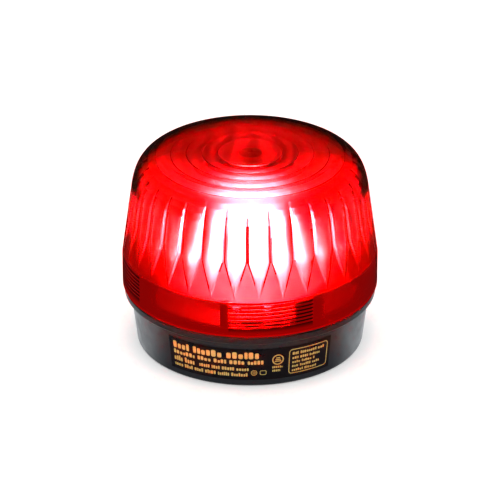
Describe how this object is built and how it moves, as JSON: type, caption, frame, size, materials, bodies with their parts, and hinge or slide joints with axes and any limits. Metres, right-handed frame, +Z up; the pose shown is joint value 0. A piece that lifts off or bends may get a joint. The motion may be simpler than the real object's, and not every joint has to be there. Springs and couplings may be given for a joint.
{
  "type": "strobe beacon",
  "caption": "Round warning strobe with a red ribbed dome lens that screws onto a dark base over a xenon flash circuit.",
  "frame": {"origin": "centre of the flat underside of the base", "axes": "+Z up through the top of the dome, -Y towards the front with the rating label, +X to the right of the front"},
  "size_m": [0.1, 0.1, 0.0794],
  "materials": {
    "housing_plastic": "fine satin",
    "label_film": "printed film",
    "seal_rubber": "matt",
    "board_laminate": "solder mask",
    "screw_steel": "zinc plated",
    "solder": "bright",
    "ferrite": "matt",
    "bobbin_plastic": "moulded",
    "winding_tape": "polyester tape",
    "coil_plastic": "moulded",
    "copper_wire": "enamelled",
    "capacitor_sleeve": "shrink sleeve",
    "lead_wire": "tinned",
    "film_capacitor": "dipped",
    "transistor_plastic": "moulded",
    "sink_aluminium": "milled",
    "resistor_coat": "lacquer",
    "terminal_plastic": "moulded",
    "reflector_white": "gloss white",
    "holder_ceramic": "matt",
    "tube_glass": "clear",
    "lens_red": "clear polycarbonate"
  },
  "bodies": {
    "base": {"base_housing": "housing_plastic", "rating_label": "label_film", "wire_grommet": "seal_rubber", "circuit_board": "board_laminate", "board_screws": "screw_steel", "solder_joints": "solder", "transformer_core": "ferrite", "transformer_bobbin": "bobbin_plastic", "transformer_winding": "winding_tape", "trigger_coil_bobbin": "coil_plastic", "trigger_coil_winding": "copper_wire", "flash_capacitor": "capacitor_sleeve", "capacitor_leads": "lead_wire", "input_capacitor": "capacitor_sleeve", "trigger_capacitor": "film_capacitor", "power_transistor": "transistor_plastic", "heat_sink": "sink_aluminium", "transistor_screw": "screw_steel", "thyristor": "transistor_plastic", "rectifier_diodes": "transistor_plastic", "resistors": "resistor_coat", "terminal_block": "terminal_plastic", "terminal_screws": "screw_steel", "cover_deck": "housing_plastic", "reflector_dish": "reflector_white", "deck_screws": "screw_steel", "tube_holder": "holder_ceramic", "flash_tube": "tube_glass", "tube_electrodes": "lead_wire", "trigger_wire": "lead_wire"},
    "seal": {"lens_seal": "seal_rubber"},
    "lens": {"lens": "lens_red"}
  },
  "joints": [
    {"name": "lens_lift", "type": "slide", "parent": "base", "child": "seal", "axis": [0, 0, 1], "range_m": [0, 0.00076]},
    {"name": "lens_turn", "type": "hinge", "parent": "seal", "child": "lens", "pos_m": [0, 0, 0.03], "axis": [0, 0, 1], "range_deg": [0, 45]}
  ],
  "couplings": [
    {"joint": "lens_lift", "follows": "lens_turn", "m_per_rad": 0.00095493}
  ]
}
